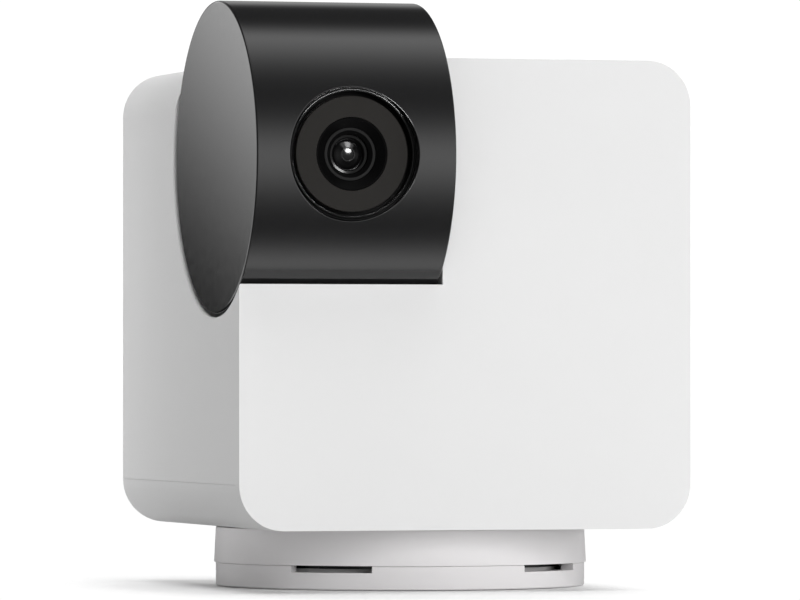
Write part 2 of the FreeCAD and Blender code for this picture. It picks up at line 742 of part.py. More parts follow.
def make_frame_screws():
    """The same screw holds both motors, the cradle and the frame's feet."""
    pinion_along = f"tilt_back + {TILT_CENTRE}"
    outer_face = "plate_from + plate_thick"
    sideways = [(outer_face, along, up) for along, up in CRADLE_POSTS]
    for side in ("-ear_reach", "ear_reach"):
        sideways.append((f"{outer_face} + 0.8", f"{pinion_along} + ({side})", "tilt_up - motor_offset"))
    upwards = [(across, along, "15.7") for across, along in FEET]
    for side in ("-ear_reach", "ear_reach"):
        upwards.append((f"{PAN_CENTRE} - motor_offset", side, "pan_motor_face + 0.8"))
    things = [screw(at, RIGHT) for at in sideways] + [screw(at, UP) for at in upwards]
    return sub_part(fuse(*things), "frame_screws")


def make_housing_screws():
    """Screws of the rear cover and of the bottom cover."""
    behind = [screw((across, f"{HALF} - 0.9", up), REAR) for across, up in COVER_BOSSES]
    below = [screw((across, along, "12.5"), DOWN, "screw_length + 3") for across, along in FLOOR_BOSSES]
    return sub_part(fuse(*behind, *below), "housing_screws")


# --- electronics of the white body ---
BOARD_POSTS = [("-24", "24"), ("24", "24"), ("-24", "62"), ("24", "62")]


def make_main_board():
    holes = [("screw_radius + 0.2", across, up) for across, up in BOARD_POSTS]
    outline = [("-28", "20"), ("28", "20"), ("28", "66"), ("-28", "66")]
    board = plate("XZ_Plane", outline, holes, "-(main_board_from + board_thick)", "board_thick")
    return sub_part(board, "main_board")


def on_board(label, low, high, thick):
    """A block on the front of the main board between two (across, up) corners."""
    block = box((low[0], f"main_board_from - {thick}", low[1]), (high[0], "main_board_from", high[1]))
    return sub_part(block, label)


def make_lead_connectors():
    pan = box(("-2.5", "main_board_from - 2", "38"), ("2.5", "main_board_from", "42"))
    tilt = box(("21.5", "main_board_from - 2", "50"), ("26.5", "main_board_from", "54"))
    return sub_part(fuse(pan, tilt), "lead_connectors")


def make_board_screws():
    spots = [(across, "main_board_from", up) for across, up in BOARD_POSTS]
    return sub_part(fuse(*[screw(at, FRONT) for at in spots]), "board_screws")


def make_reset_switch():
    behind = "main_board_from + board_thick"
    base = box(("reset_across - 2", behind, "reset_up - 2"),
               ("reset_across + 2", f"{behind} + 0.8", "reset_up + 2"))
    dome = cylinder("0.9", "1.05", ("reset_across", behind, "reset_up"), REAR)
    return sub_part(fuse(base, dome), "reset_switch")


def make_reset_button():
    """Stem with a shoulder that stays behind the cover."""
    button = turned([
        ("0", "0"), ("1.5", "0"), ("1.5", "3"), ("3", "3"), ("3", "4"), ("2", "4"), ("2", "5.6"),
        ("1.8", "5.8"), ("0", "5.8"),
    ], ("reset_across", "27.15", "reset_up"), REAR)
    return sub_part(button, "reset_button")


def make_microphone():
    behind = "main_board_from + board_thick"
    return sub_part(cylinder("1.6", "1.2", ("reset_across", behind, "56"), REAR), "microphone")


def make_speaker():
    """Round loudspeaker facing backwards, with its magnet towards the board."""
    face = f"{HALF} - rear_plate - 0.5"
    body = turned([
        ("0", "-4.6"), ("6.5", "-4.6"), ("6.5", "-2.4"), ("10", "-1.2"), ("10", "0"), ("8.4", "0"),
        ("6.5", "-0.9"), ("3.2", "-1.5"), ("2.4", "-0.9"), ("0", "-0.5"),
    ], ("speaker_across", face, "speaker_up"), REAR)
    return sub_part(body, "speaker")


def make_speaker_gasket():
    at = ("speaker_across", f"{HALF} - rear_plate - 0.5", "speaker_up")
    return sub_part(ring("10", "8.6", "0", "0.5", at, REAR), "speaker_gasket")


def make_wifi_antenna():
    strip = box((f"{HALF} - wall - 0.4", "-20", "60"), (f"{HALF} - wall - 0.05", "8", "66"))
    return sub_part(strip, "wifi_antenna")


def make_pan_lead():
    route = [
        ("0", "0", "16.2"), ("0", "0", "26"), ("0", "5", "34"), ("0", "13", "40"),
        ("0", "main_board_from - 2", "40"),
    ]
    return lead("pan_lead", route)


def make_tilt_lead():
    route = [
        ("9.2", "tilt_back", "tilt_up"), ("22", "tilt_back", "tilt_up"), ("28", "-14", "tilt_up"),
        ("28", "2", "59.5"), ("24", "13", "52"), ("24", "main_board_from - 2", "52"),
    ]
    return lead("tilt_lead", route)


# --- lens drum ---
def carrier_spots():
    """The four (across, up) places of the lens carrier's screws."""
    return [(f"lens_across + ({side})", f"tilt_up + ({level})")
            for side in ("-post_across", "post_across") for level in ("-post_up", "post_up")]


def make_drum_shell():
    """Black tube with the lens hole and the posts of the lens carrier."""
    inner = "drum_radius - drum_wall"
    tube_from = "drum_left + side_cap"
    tube = turned([
        (inner, tube_from), ("drum_radius", tube_from), ("drum_radius", "drum_right - 0.25"),
        ("drum_radius - 0.25", "drum_right"), (inner, "drum_right"),
    ], ON_TILT_AXIS, RIGHT)
    spots = [(across, "tilt_back - carrier_front", up) for across, up in carrier_spots()]
    posts = [cylinder("1.5", "19.3 - carrier_front", at, FRONT) for at in spots]
    pilots = [cylinder("pilot_radius", "2", at, FRONT) for at in spots]
    hole = lens_cylinder("lens_hole", "12", "27")
    return sub_part(cut(fuse(tube, *posts), hole, *pilots), "drum_shell")


def make_drum_side_cap():
    """Flat black disc that closes the drum's outer end, with a spigot inside the tube."""
    inner = "drum_radius - drum_wall"
    face = "drum_left"
    seat = "drum_left + side_cap"
    cap = turned([
        ("0", face), ("drum_radius - 0.3", face), ("drum_radius", f"{face} + 0.3"), ("drum_radius", seat),
        (f"{inner} - 0.05", seat), (f"{inner} - 0.05", f"{seat} + 1.2"), (f"{inner} - 1.5", f"{seat} + 1.2"),
        (f"{inner} - 1.5", seat), ("0", seat),
    ], ON_TILT_AXIS, RIGHT)
    return sub_part(cap, "drum_side_cap")


def make_drum_end_cap():
    """Inner end of the drum with the hollow axle, its thrust face, gear seat and clip groove."""
    inner = "drum_radius - drum_wall - 0.05"
    clip_from = "tilt_gear_from + gear_width + 0.05"
    cap = turned([
        ("axle_bore", "drum_right - 1.8"), (inner, "drum_right - 1.8"), (inner, "drum_right"),
        ("7.5", "drum_right"), ("7.5", "drum_right + 0.4"), ("axle_radius", "drum_right + 0.4"),
        ("axle_radius", "tilt_gear_from"), ("gear_seat", "tilt_gear_from"), ("gear_seat", clip_from),
        ("gear_seat - 0.45", clip_from), ("gear_seat - 0.45", f"{clip_from} + 0.6"),
        ("gear_seat", f"{clip_from} + 0.6"), ("gear_seat", "axle_end"), ("axle_bore", "axle_end"),
    ], ON_TILT_AXIS, RIGHT)
    key = box(("tilt_gear_from", "tilt_back - 0.6", "tilt_up + gear_seat - 0.3"),
              ("tilt_gear_from + gear_width", "tilt_back + 0.6", "tilt_up + gear_seat + 0.6"))
    return sub_part(fuse(cap, key), "drum_end_cap")


def make_tilt_gear():
    plain = gear("tilt_gear_teeth", "tilt_gear_from", "gear_width", "gear_seat + 0.04", 90,
                 ON_TILT_AXIS, RIGHT)
    keyway = box(("tilt_gear_from - 1", "tilt_back - 0.65", "tilt_up + gear_seat - 1"),
                 ("tilt_gear_from + gear_width + 1", "tilt_back + 0.65", "tilt_up + gear_seat + 0.7"))
    return sub_part(cut(plain, keyway), "tilt_gear")


def make_tilt_gear_clip():
    low = "tilt_gear_from + gear_width + 0.07"
    whole = ring("gear_seat + 1.4", "gear_seat - 0.4", low, f"{low} + 0.55", ON_TILT_AXIS, RIGHT)
    gap = box((low, "tilt_back - 1.2", "tilt_up - 8"), (f"{low} + 1", "tilt_back + 1.2", "tilt_up - 2"))
    return sub_part(cut(whole, gap), "tilt_gear_clip")


def make_lens_bezel():
    """Black ring in the lens hole, stepped up to a bead in front, whose lip carries the window."""
    back = "window_front - window_thick"
    bezel = turned([
        ("7.75", f"{back} - 1.4"), ("lens_hole - 0.05", f"{back} - 1.4"),
        ("lens_hole - 0.05", "window_front - 0.1"), ("lens_hole - 0.2", "window_front + 0.05"),
        ("lens_hole - 0.35", "window_front + 0.05"), ("lens_hole - 0.35", "window_front + 0.2"),
        ("lens_hole - 0.45", "window_front + 0.3"), ("lens_hole - 0.6", "window_front + 0.15"),
        ("lens_hole - 0.6", f"{back} + 0.1"), ("window_outer + 0.15", f"{back} + 0.1"),
        ("window_outer + 0.15", f"{back} - 0.05"), ("7.75", f"{back} - 0.05"),
    ], ON_LENS_AXIS, FRONT)
    return sub_part(bezel, "lens_bezel")


def make_ir_window():
    window = ring("window_outer", "window_inner", "window_front - window_thick", "window_front",
                  ON_LENS_AXIS, FRONT)
    return sub_part(window, "ir_window")


def make_lens_cone():
    """Black funnel from the window's inner edge down to the tip of the barrel."""
    back = "window_front - window_thick"
    cone = turned([
        ("barrel_tip + 0.05", f"{back} - 0.9"), ("5.6", f"{back} - 0.9"), ("5.6", f"{back} - 0.05"),
        ("window_inner - 0.05", f"{back} - 0.05"), ("window_inner - 0.05", "window_front - 0.05"),
        ("window_inner - 0.2", "window_front - 0.05"), ("barrel_tip + 0.05", back),
    ], ON_LENS_AXIS, FRONT)
    return sub_part(cone, "lens_cone")


def make_lens_barrel():
    """Threaded lens barrel with a stepped mouth."""
    tip = "window_front - window_thick"
    barrel = turned([
        ("2.2", "8.6"), ("barrel_body", "8.6"), ("barrel_body", "17.2"), ("barrel_tip", "17.2"),
        ("barrel_tip", f"{tip} - 0.1"), ("barrel_tip - 0.1", tip), ("3.3", tip),
        ("glass_radius + 0.05", f"{tip} - 0.35"),
        ("glass_radius + 0.05", "15.5"), ("2.2", "15.5"),
    ], ON_LENS_AXIS, FRONT)
    return sub_part(barrel, "lens_barrel")


def make_lens_retaining_ring():
    retaining = turned([
        ("2.2", "glass_seat"), ("glass_radius", "glass_seat"), ("glass_radius", "glass_seat + 0.6"),
        ("2.45", "glass_seat + 0.6"), ("2.2", "glass_seat + 0.4"),
    ], ON_LENS_AXIS, FRONT)
    return sub_part(retaining, "lens_retaining_ring")


def make_lens_glass():
    """Front lens: a flat-backed disc with a domed face."""
    rim = lens_cylinder("glass_radius", "15.5", "glass_seat - 0.05")
    sphere = doc.addObject("Part::Sphere", "sphere")
    bind(sphere, Radius="4.28")
    place(sphere, ("lens_across", "tilt_back - glass_seat + 3.78", "tilt_up"))
    dome = common(sphere, lens_cylinder("2.1", "16.5", "20"))
    return sub_part(fuse(rim, dome), "lens_glass")


def make_lens_carrier():
    """Square plate inside the drum that holds the lens, the infrared board and the sensor."""
    half = "carrier_side / 2"
    across = "lens_across"
    outline = [
        (f"{across} - {half}", f"tilt_up - {half}"), (f"{across} + {half}", f"tilt_up - {half}"),
        (f"{across} + {half}", f"tilt_up + {half}"), (f"{across} - {half}", f"tilt_up + {half}"),
    ]
    holes = [("barrel_body + 0.15", across, "tilt_up")]
    holes += [("screw_radius + 0.2", *spot) for spot in carrier_spots()]
    behind = "carrier_front - carrier_thick - tilt_back"
    return sub_part(plate("XZ_Plane", outline, holes, behind, "carrier_thick"), "lens_carrier")


def make_carrier_screws():
    """Short screws behind the lens carrier."""
    behind = "tilt_back - carrier_front + carrier_thick"
    things = [screw((across, behind, up), REAR, "3.2", "1.5") for across, up in carrier_spots()]
    return sub_part(fuse(*things), "carrier_screws")


def lens_block(half, low, high):
    """A square block about the lens axis between two distances from the tilt axis."""
    return box((f"lens_across - {half}", f"tilt_back - ({high})", f"tilt_up - {half}"),
               (f"lens_across + {half}", f"tilt_back - ({low})", f"tilt_up + {half}"))


def lens_cylinder(radius, low, high):
    return cylinder(radius, f"({high}) - ({low})", ("lens_across", f"tilt_back - ({low})", "tilt_up"), FRONT)


def make_lens_holder():
    """Flange behind the carrier with the tube that the barrel screws into."""
    flange = lens_block("7.6", "13.3", "14.5")
    tube = lens_cylinder("6.85", "sensor_board_from + 1", "13.4")
    bore = lens_cylinder("barrel_body + 0.1", "sensor_board_from", "20")
    return sub_part(cut(fuse(flange, tube), bore), "lens_holder")


def make_sensor_board():
    return sub_part(lens_block("9", "sensor_board_from", "sensor_board_from + 1"), "sensor_board")


def make_image_sensor():
    return sub_part(lens_block("3", "sensor_board_from + 1", "sensor_board_from + 1.8"), "image_sensor")


def make_ir_led_board():
    board = ring("9.6", "6.2", "carrier_front", "carrier_front + 0.8", ON_LENS_AXIS, FRONT)
    return sub_part(board, "ir_led_board")


def make_ir_leds():
    """Six infrared emitters in a circle behind the window."""
    things = []
    for index in range(6):
        angle = math.radians(60 * index + 30)
        across = f"lens_across + {6.75 * math.cos(angle):.6f}"
        up = f"tilt_up + {6.75 * math.sin(angle):.6f}"
        things.append(box((f"{across} - 0.8", "tilt_back - carrier_front - 1.5", f"{up} - 0.8"),
                          (f"{across} + 0.8", "tilt_back - carrier_front - 0.8", f"{up} + 0.8")))
    return sub_part(fuse(*things), "ir_leds")


def make_drum_lead():
    route = [
        ("-25", "tilt_back - sensor_board_from", "tilt_up"), ("-25", "tilt_back - 2.4", "tilt_up"),
        ("-21.5", "tilt_back", "tilt_up"), ("9", "tilt_back", "tilt_up"),
    ]
    return lead("drum_lead", route)


def make_camera():
    make_foot_pad()
    make_base_plate()
    make_base_housing()
    make_tripod_insert()
    make_pan_hub()
    make_pan_gear()
    make_pan_gear_clip()
    make_pan_washer()
    make_base_screws()
    make_hub_screws()
    make_base_board()
    make_base_connector()
    make_usb_c_shell()
    make_usb_c_tongue()
    make_base_lead()
    blank = make_blank()
    make_main_shell(blank)
    make_bottom_cover(blank)
    make_rear_cover()
    make_drum_cradle()
    make_frame()
    make_motor("pan_motor", (PAN_CENTRE, "0", "pan_motor_face"), DOWN)
    make_motor("tilt_motor", ("plate_from + plate_thick", f"tilt_back + {TILT_CENTRE}", "tilt_up"), LEFT)
    gear_top = "pan_gear_from + gear_width"
    make_pinion("pan_pinion", "pan_motor_face - (pan_gear_from + gear_width + 0.2)",
                "pan_motor_face - (pan_gear_from - 0.2)", "-4", 0, (PAN_CENTRE, "0", "pan_motor_face"), DOWN)
    make_pinion("tilt_pinion", "plate_from + plate_thick - (tilt_gear_from + gear_width + 0.2)",
                "plate_from + plate_thick - (tilt_gear_from - 0.2)", "-4", 90,
                ("plate_from + plate_thick", f"tilt_back + {TILT_CENTRE}", "tilt_up"), LEFT)
    make_frame_screws()
    make_housing_screws()
    make_main_board()
    on_board("main_chip", ("-19", "27"), ("-5", "41"), "1.4")
    on_board("wifi_shield", ("6", "30"), ("20", "42"), "2")
    make_lead_connectors()
    make_board_screws()
    make_reset_switch()
    make_reset_button()
    make_microphone()
    make_speaker()
    make_speaker_gasket()
    make_wifi_antenna()
    make_pan_lead()
    make_tilt_lead()
    make_drum_shell()
    make_drum_side_cap()
    make_drum_end_cap()
    make_tilt_gear()
    make_tilt_gear_clip()
    make_lens_bezel()
    make_ir_window()
    make_lens_cone()
    make_lens_barrel()
    make_lens_retaining_ring()
    make_lens_glass()
    make_lens_carrier()
    make_carrier_screws()
    make_lens_holder()
    make_sensor_board()
    make_image_sensor()
    make_ir_led_board()
    make_ir_leds()
    make_drum_lead()


def write_parts():
    """Check every object, then write each sub-part under its own name."""
    doc.recompute()
    failed = [item.Name for item in doc.Objects if {"Invalid", "Error"} & set(item.State)]
    if failed:
        raise RuntimeError(f"failed objects: {failed}")
    for item in SUB_PARTS:
        if item.Shape.isNull() or not item.Shape.isValid():
            raise RuntimeError(f"bad shape: {item.Label}")
    os.makedirs("parts", exist_ok=True)
    for item in SUB_PARTS:
        item.Shape.exportStep(os.path.join("parts", item.Label + ".step"))
        print(f"{item.Label}: {len(item.Shape.Solids)} solid(s), {item.Shape.Volume:.1f} mm3")


make_camera()
write_parts()
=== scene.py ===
"""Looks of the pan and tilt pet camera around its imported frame. Metres, +Z up, -Y is the front."""
import json
import math

import bpy
from mathutils import Matrix, Vector


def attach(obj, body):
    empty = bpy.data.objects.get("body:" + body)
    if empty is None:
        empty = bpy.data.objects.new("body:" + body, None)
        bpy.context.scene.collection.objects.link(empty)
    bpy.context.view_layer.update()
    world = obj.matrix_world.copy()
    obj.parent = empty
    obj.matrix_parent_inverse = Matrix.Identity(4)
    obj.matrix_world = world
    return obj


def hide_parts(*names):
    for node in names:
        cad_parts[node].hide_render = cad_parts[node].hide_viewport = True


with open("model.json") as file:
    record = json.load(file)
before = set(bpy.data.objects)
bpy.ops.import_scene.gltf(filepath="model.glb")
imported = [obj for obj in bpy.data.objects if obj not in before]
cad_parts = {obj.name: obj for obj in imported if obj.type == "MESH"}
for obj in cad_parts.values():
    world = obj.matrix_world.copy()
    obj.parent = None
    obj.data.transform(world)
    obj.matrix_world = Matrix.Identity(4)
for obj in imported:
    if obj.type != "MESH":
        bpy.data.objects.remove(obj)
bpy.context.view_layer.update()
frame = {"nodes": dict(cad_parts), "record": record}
MM = 0.001

# --- camera, fitted to the viewpoint ---
CAMERA_AT = (-0.2830, -0.9554, 0.0309)
CAMERA_YAW = math.radians(16.5)
CAMERA_LENS, SENSOR_WIDTH = 310.4, 36.0
CAMERA_SHIFT_Y = 0.0892

# --- sizes of the drum and the lens, in mm as in the CAD source ---
TILT_BACK, TILT_UP = -19.4, 60.95
LENS_ACROSS = -18.7
DRUM_RADIUS, DRUM_WALL = 22.0, 1.8
DRUM_LEFT, DRUM_RIGHT, SIDE_CAP = -32.75, -4.05, 1.45
DRUM_BORE = DRUM_RADIUS - DRUM_WALL
CAP_SEAT = DRUM_LEFT + SIDE_CAP
LENS_HOLE = 9.25
# distances along the lens axis run forwards from the tilt axis
WINDOW_FRONT, WINDOW_THICK = 20.4, 1.0
WINDOW_OUTER, WINDOW_INNER = 8.05, 5.1
WINDOW_BACK = WINDOW_FRONT - WINDOW_THICK
BARREL_TIP, BARREL_BODY, BARREL_BACK, BARREL_SHOULDER = 3.7, 5.65, 8.6, 17.2
GLASS_RADIUS, GLASS_SEAT, GLASS_BACK = 2.7, 18.0, 15.5
APERTURE = 2.2
GAP = 0.05

TILT_POINT = (0, TILT_BACK, TILT_UP)
LENS_POINT = (LENS_ACROSS, TILT_BACK, TILT_UP)
RIGHT = (1, 0, 0)
FRONT = (0, -1, 0)

# --- roundings that only the looks have, in mm ---
HOLE_ROUND, DISC_ROUND, END_ROUND = 0.2, 0.34, 0.25


def make_camera():
    data = bpy.data.cameras.new("camera")
    data.sensor_width = SENSOR_WIDTH
    data.lens = CAMERA_LENS
    data.shift_y = CAMERA_SHIFT_Y
    data.clip_start = 0.05
    data.clip_end = 50.0
    camera = bpy.data.objects.new("camera", data)
    camera.location = CAMERA_AT
    camera.rotation_euler = (math.radians(90), 0, -CAMERA_YAW)
    bpy.context.scene.collection.objects.link(camera)
    bpy.context.scene.camera = camera


# --- small node helper ---
# The part of its values that a noise mostly takes; a ramp runs over this part.
NOISE_SPAN = (0.3, 0.7)


class Tree:
    """Adds nodes to a tree and links them in one call each.

    An input is named by its number, as in i0, or by its own name with _ for a space.
    """

    def __init__(self, tree):
        self.tree = tree
        tree.nodes.clear()

    def add(self, kind, settings=None, **inputs):
        node = self.tree.nodes.new(kind)
        for name, value in (settings or {}).items():
            setattr(node, name, value)
        for name, value in inputs.items():
            self.set(node, name, value)
        return node

    def set(self, node, name, value):
        numbered = name[0] == "i" and name[1:].isdigit()
        socket = node.inputs[int(name[1:]) if numbered else name.replace("_", " ")]
        if isinstance(value, bpy.types.NodeSocket):
            self.tree.links.new(value, socket)
        else:
            socket.default_value = value

    def math(self, operation, a, b=0.0, c=0.0):
        node = self.add("ShaderNodeMath", {"operation": operation}, i0=a, i1=b, i2=c)
        return node.outputs[0]

    def distance(self, where, centre, stretch):
        """How far a place is from a centre, with each axis stretched by its own factor."""
        offset = self.add("ShaderNodeVectorMath", {"operation": "SUBTRACT"}, i0=where, i1=centre)
        scaled = self.add("ShaderNodeVectorMath", {"operation": "MULTIPLY"},
                          i0=offset.outputs[0], i1=stretch)
        return self.add("ShaderNodeVectorMath", {"operation": "LENGTH"},
                        i0=scaled.outputs[0]).outputs[1]

    def smooth(self, value, low, high):
        """0 below the low value and 1 above the high one, with a soft change between them."""
        node = self.add("ShaderNodeMapRange", {"interpolation_type": "SMOOTHSTEP"},
                        i0=value, i1=low, i2=high)
        return node.outputs[0]

    def mix(self, factor, first, second):
        node = self.add("ShaderNodeMix", {"data_type": "RGBA"}, i0=factor, i6=first, i7=second)
        return node.outputs[2]

    def ramp(self, noise, low, high):
        node = self.add("ShaderNodeValToRGB", i0=noise)
        node.color_ramp.interpolation = "LINEAR"
        for stop, place, value in zip(node.color_ramp.elements, NOISE_SPAN, (low, high)):
            stop.position = place
            stop.color = opaque(value)
        return node.outputs[0]


def opaque(value):
    """A grey, or a colour of three values, with its alpha."""
    if isinstance(value, (int, float)):
        value = (value, value, value)
    return tuple(value) + (1.0,)


# --- materials ---
CLOUD_SCALE = 60.0
SPECK_SCALE, SPECK_DARK = 0.7, 0.6
ROUGHNESS_PLAY, MOST_PLAY = 0.15, 0.04
GRAIN_DEPTH = 0.00002


def surface(name, color, roughness, spread, grain, grain_scale, specks=0.0, rings=(), **more):
    """A Principled surface, slightly cloudy in its colour, of varied roughness and with a fine grain.

    Spread is how far the colour strays. Specks is the size of darker dots. Each ring is two radii
    about the lens axis, in mm, and the lighter grey painted between them as a painted highlight on a
    lens ring's flat face. The rest goes to the shader's inputs.
    """
    material = bpy.data.materials.new(name)
    material.use_nodes = True
    tree = Tree(material.node_tree)
    where = tree.add("ShaderNodeTexCoord").outputs["Object"]
    cloud = tree.add("ShaderNodeTexNoise", Vector=where, Scale=CLOUD_SCALE, Detail=3.0).outputs["Fac"]
    fine = tree.add("ShaderNodeTexNoise", Vector=where, Scale=grain_scale, Detail=2.0).outputs["Fac"]
    low = [c * (1 - spread) for c in color]
    high = [min(1.0, c * (1 + spread)) for c in color]
    tint = tree.ramp(cloud, low, high)
    if specks:
        dots = tree.add("ShaderNodeTexVoronoi", Vector=where, Scale=grain_scale * SPECK_SCALE)
        mask = tree.math("LESS_THAN", dots.outputs["Distance"], specks)
        tint = tree.mix(mask, tint, opaque([c * SPECK_DARK for c in color]))
    # Each ring paints a lighter grey band about the lens axis: a painted highlight on a lens ring's
    # flat face.
    if rings:
        reach = tree.distance(where, (LENS_ACROSS * MM, 0, TILT_UP * MM), (1, 0, 1))
    for inner, outer, painted_highlight_grey in rings:
        painted_highlight_band = tree.math("MULTIPLY", tree.math("GREATER_THAN", reach, inner * MM),
                         tree.math("LESS_THAN", reach, outer * MM))
        tint = tree.mix(painted_highlight_band, tint, opaque(painted_highlight_grey))
    play = min(MOST_PLAY, roughness * ROUGHNESS_PLAY)
    rough = tree.ramp(fine, max(0.0, roughness - play), min(1.0, roughness + play))
    shader = tree.add("ShaderNodeBsdfPrincipled", Base_Color=tint, Roughness=rough, **more)
    if grain:
        bump = tree.add("ShaderNodeBump", Height=fine, Strength=grain, Distance=GRAIN_DEPTH)
        tree.set(shader, "Normal", bump.outputs[0])
    tree.add("ShaderNodeOutputMaterial", Surface=shader.outputs[0])
    return material


# Each slot's colour, roughness, spread, grain and scale of the grain, and what else surface() takes.
MATERIALS = {
    "white_shell": ((0.79, 0.79, 0.79), 0.45, 0.004, 0.08, 2600.0, {"Specular_IOR_Level": 0.3}),
    "white_base": ((0.805, 0.790, 0.795), 0.45, 0.004, 0.08, 2600.0, {"Specular_IOR_Level": 0.3}),
    "black_gloss": ((0.0115, 0.0115, 0.0118), 0.06, 0.03, 0.0, 700.0, {"IOR": 1.5}),
    # black_satin's rings are painted highlights: lighter grey bands on the flat faces of the lens
    # tube's tip and of the keeper ring.
    "black_satin": ((0.003, 0.003, 0.0031), 0.2, 0.08, 0.0, 1800.0,
                    {"rings": ((3.28, 3.68, 0.022), (2.36, 2.68, 0.018)), "Specular_IOR_Level": 0.02}),
    "window_black": ((0.0195, 0.0183, 0.0170), 0.35, 0.02, 0.02, 2200.0, {"Specular_IOR_Level": 0.08}),
    "lens_glass": ((0.003, 0.003, 0.0032), 0.14, 0.05, 0.0, 500.0, {"Specular_IOR_Level": 0.1}),
    "pad_rubber": ((0.03, 0.03, 0.03), 0.8, 0.12, 0.5, 1500.0, {}),
    "brass_insert": ((0.72, 0.53, 0.24), 0.28, 0.05, 0.1, 1200.0, {"Metallic": 1.0}),
    "steel_bright": ((0.62, 0.62, 0.63), 0.3, 0.05, 0.1, 1200.0, {"Metallic": 1.0}),
    "steel_screw": ((0.30, 0.30, 0.31), 0.35, 0.08, 0.1, 1400.0, {"Metallic": 1.0}),
    "gear_white": ((0.72, 0.71, 0.66), 0.45, 0.03, 0.1, 1500.0, {}),
    "frame_black": ((0.025, 0.025, 0.026), 0.5, 0.1, 0.3, 1500.0, {}),
    "board_green": ((0.012, 0.09, 0.035), 0.35, 0.2, 0.1, 900.0, {"specks": 0.12}),
    "board_black": ((0.012, 0.012, 0.013), 0.35, 0.2, 0.1, 900.0, {"specks": 0.12}),
    "chip_black": ((0.02, 0.02, 0.021), 0.5, 0.1, 0.2, 1800.0, {}),
    "connector_cream": ((0.7, 0.65, 0.52), 0.45, 0.04, 0.1, 1500.0, {}),
    "lead_black": ((0.015, 0.015, 0.015), 0.55, 0.1, 0.3, 1600.0, {}),
    "emitter_clear": ((0.5, 0.45, 0.3), 0.15, 0.05, 0.05, 900.0, {}),
    "foam_grey": ((0.05, 0.05, 0.05), 0.95, 0.2, 0.8, 900.0, {}),
    "speaker_black": ((0.02, 0.02, 0.02), 0.7, 0.15, 0.5, 1100.0, {}),
    "aerial_film": ((0.6, 0.42, 0.2), 0.3, 0.06, 0.1, 900.0, {"Metallic": 0.8}),
}

slot_materials = {}


def material_for(slot):
    """The material of a slot, made at its first use."""
    if slot not in slot_materials:
        *values, more = MATERIALS[slot]
        slot_materials[slot] = surface(slot, *values, **more)
    return slot_materials[slot]


def dress_nodes():
    """Gives every carried-over node the material of its slot."""
    slots = {entry["node"]: entry["material_slot"] for entry in frame["record"]["subparts"]}
    for name, obj in frame["nodes"].items():
        material = material_for(slots[name])
        for holder in obj.material_slots:
            holder.material = material
        if not obj.material_slots:
            obj.data.materials.append(material)


# --- skins: meshes whose corner normals are known exactly ---
# The finished skins by name, for the lights that only one of them receives.
pieces = {}


class Skin:
    """Points in mm and faces, with the normal at each face corner, made into one smooth object."""

    def __init__(self):
        self.points = []
        self.faces = []
        self.normals = []

    def point(self, spot):
        self.points.append(Vector(spot))
        return len(self.points) - 1

    def face(self, corners, normals):
        """Adds a face, turned over where it runs against its normals."""
        spots = [self.points[c] for c in corners]
        flat = Vector((0, 0, 0))
        for a, b in zip(spots, spots[1:] + spots[:1]):
            flat += a.cross(b)
        total = sum((Vector(n) for n in normals), Vector((0, 0, 0)))
        if flat.dot(total) < 0:
            corners, normals = corners[::-1], normals[::-1]
        self.faces.append(corners)
        self.normals.extend(Vector(n).normalized() for n in normals)

    def stitch(self, rows):
        """Joins each loop of (point, normal) to the next one by a band of faces."""
        for first, second in zip(rows, rows[1:]):
            for k in range(len(first)):
                j = (k + 1) % len(first)
                four = [first[k], first[j], second[j], second[k]]
                self.face([index for index, _ in four], [normal for _, normal in four])

    def finish(self, name, slot, body, *replaced):
        mesh = bpy.data.meshes.new(name)
        mesh.from_pydata([p * MM for p in self.points], [], self.faces)
        mesh.shade_smooth()
        mesh.normals_split_custom_set(self.normals)
        obj = bpy.data.objects.new(name, mesh)
        bpy.context.scene.collection.objects.link(obj)
        mesh.materials.append(material_for(slot))
        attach(obj, body)
        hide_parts(*replaced)
        pieces[name] = obj


# --- pieces turned about an axis ---
# A rounding has a point for each of these degrees, and at least so many steps.
ROUND_DEGREES, LEAST_STEPS = 6, 3
# Points nearer to the axis, and to each other, than these count as one, in mm.
ON_AXIS, SAME_SPOT = 1e-6, 1e-7


def rounded_profile(corners):
    """Points of a closed outline, each as (spot, normal before, normal after).

    A corner is (radius, distance), with the radius of its rounding as a third value if it has one.
    """
    count = len(corners)
    spots = [Vector((c[0], c[1])) for c in corners]
    rounds = [c[2] if len(c) > 2 else 0.0 for c in corners]
    area = sum(a.x * b.y - b.x * a.y for a, b in zip(spots, spots[1:] + spots[:1]))
    side = 1 if area > 0 else -1

    def outward(a, b):
        run = (b - a).normalized()
        return Vector((run.y, -run.x)) * side

    profile = []
    for index in range(count):
        before, spot, after = spots[index - 1], spots[index], spots[(index + 1) % count]
        first, last = outward(before, spot), outward(spot, after)
        radius = rounds[index]
        if not radius:
            profile.append((spot, first, last))
            continue
        turn = first.angle_signed(last)
        start = spot - (spot - before).normalized() * (radius * math.tan(abs(turn) / 2))
        steps = max(LEAST_STEPS, math.ceil(abs(math.degrees(turn)) / ROUND_DEGREES))
        hollow = (after - spot).dot(first) > 0
        centre = start + first * radius if hollow else start - first * radius
        for step in range(steps + 1):
            normal = Vector((first.x, first.y))
            normal.rotate(Matrix.Rotation(-turn * (step / steps), 2))
            place = centre - normal * radius if hollow else centre + normal * radius
            profile.append((place, normal, normal))
    return profile


